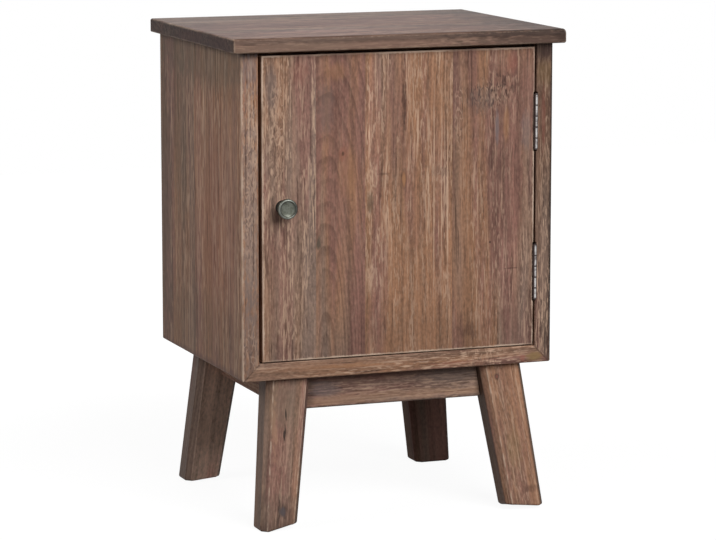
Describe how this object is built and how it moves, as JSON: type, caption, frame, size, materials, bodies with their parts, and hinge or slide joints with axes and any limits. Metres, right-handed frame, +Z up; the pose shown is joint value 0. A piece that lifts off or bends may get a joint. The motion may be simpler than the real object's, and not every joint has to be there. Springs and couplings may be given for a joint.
{
  "type": "storage side table with door",
  "caption": "Small reclaimed-wood cabinet on splayed tapered legs, with a flush hinged plank door, a round metal knob, a magnetic catch and an overhanging top.",
  "frame": {"origin": "on the floor, under the middle of the whole table's box", "axes": "+X to the right as seen from the front, +Y to the back (the door faces -Y), +Z up"},
  "size_m": [0.4, 0.32, 0.556],
  "materials": {
    "top_wood": "matt, greyed, limed pores",
    "cabinet_wood": "matt, greyed, limed pores",
    "door_wood": "matt, limed pores",
    "base_wood": "matt, worn arrises",
    "inner_wood": "bare",
    "hinge_steel": "satin",
    "screw_steel": "satin",
    "knob_metal": "pewter grey, satin",
    "catch_plastic": "brown",
    "catch_steel": "zinc plated",
    "magnet": "dark"
  },
  "bodies": {
    "cabinet": {"top_front_plank": "top_wood", "top_middle_plank": "top_wood", "top_back_plank": "top_wood", "left_side_front_plank": "cabinet_wood", "left_side_back_plank": "cabinet_wood", "right_side_front_plank": "cabinet_wood", "right_side_back_plank": "cabinet_wood", "bottom_front_plank": "cabinet_wood", "bottom_back_plank": "cabinet_wood", "front_left_leg": "base_wood", "front_right_leg": "base_wood", "back_left_leg": "base_wood", "back_right_leg": "base_wood", "front_rail": "base_wood", "back_rail": "base_wood", "left_rail": "base_wood", "right_rail": "base_wood", "front_stretcher": "inner_wood", "rear_stretcher": "inner_wood", "stretcher_dowels": "inner_wood", "left_mitre_spline": "inner_wood", "right_mitre_spline": "inner_wood", "back_panel": "inner_wood", "upper_hinge_frame_leaf": "hinge_steel", "upper_hinge_pin": "hinge_steel", "lower_hinge_frame_leaf": "hinge_steel", "lower_hinge_pin": "hinge_steel", "hinge_frame_screws": "screw_steel", "back_panel_screws": "screw_steel", "top_screws": "screw_steel", "base_screws": "screw_steel", "catch_screws": "screw_steel", "catch_body": "catch_plastic", "catch_pole_plates": "catch_steel", "catch_magnet": "magnet"},
    "door": {"door_plank_1": "door_wood", "door_plank_2": "door_wood", "door_plank_3": "door_wood", "door_plank_4": "door_wood", "upper_hinge_door_leaf": "hinge_steel", "lower_hinge_door_leaf": "hinge_steel", "hinge_door_screws": "screw_steel", "door_knob": "knob_metal", "knob_screw": "screw_steel", "strike_plate": "catch_steel", "strike_screws": "screw_steel"}
  },
  "joints": [
    {"name": "door_hinge", "type": "hinge", "parent": "cabinet", "child": "door", "pos_m": [0.1669, -0.1413, 0.364], "axis": [0, 0, 1], "range_deg": [0, 170]}
  ]
}
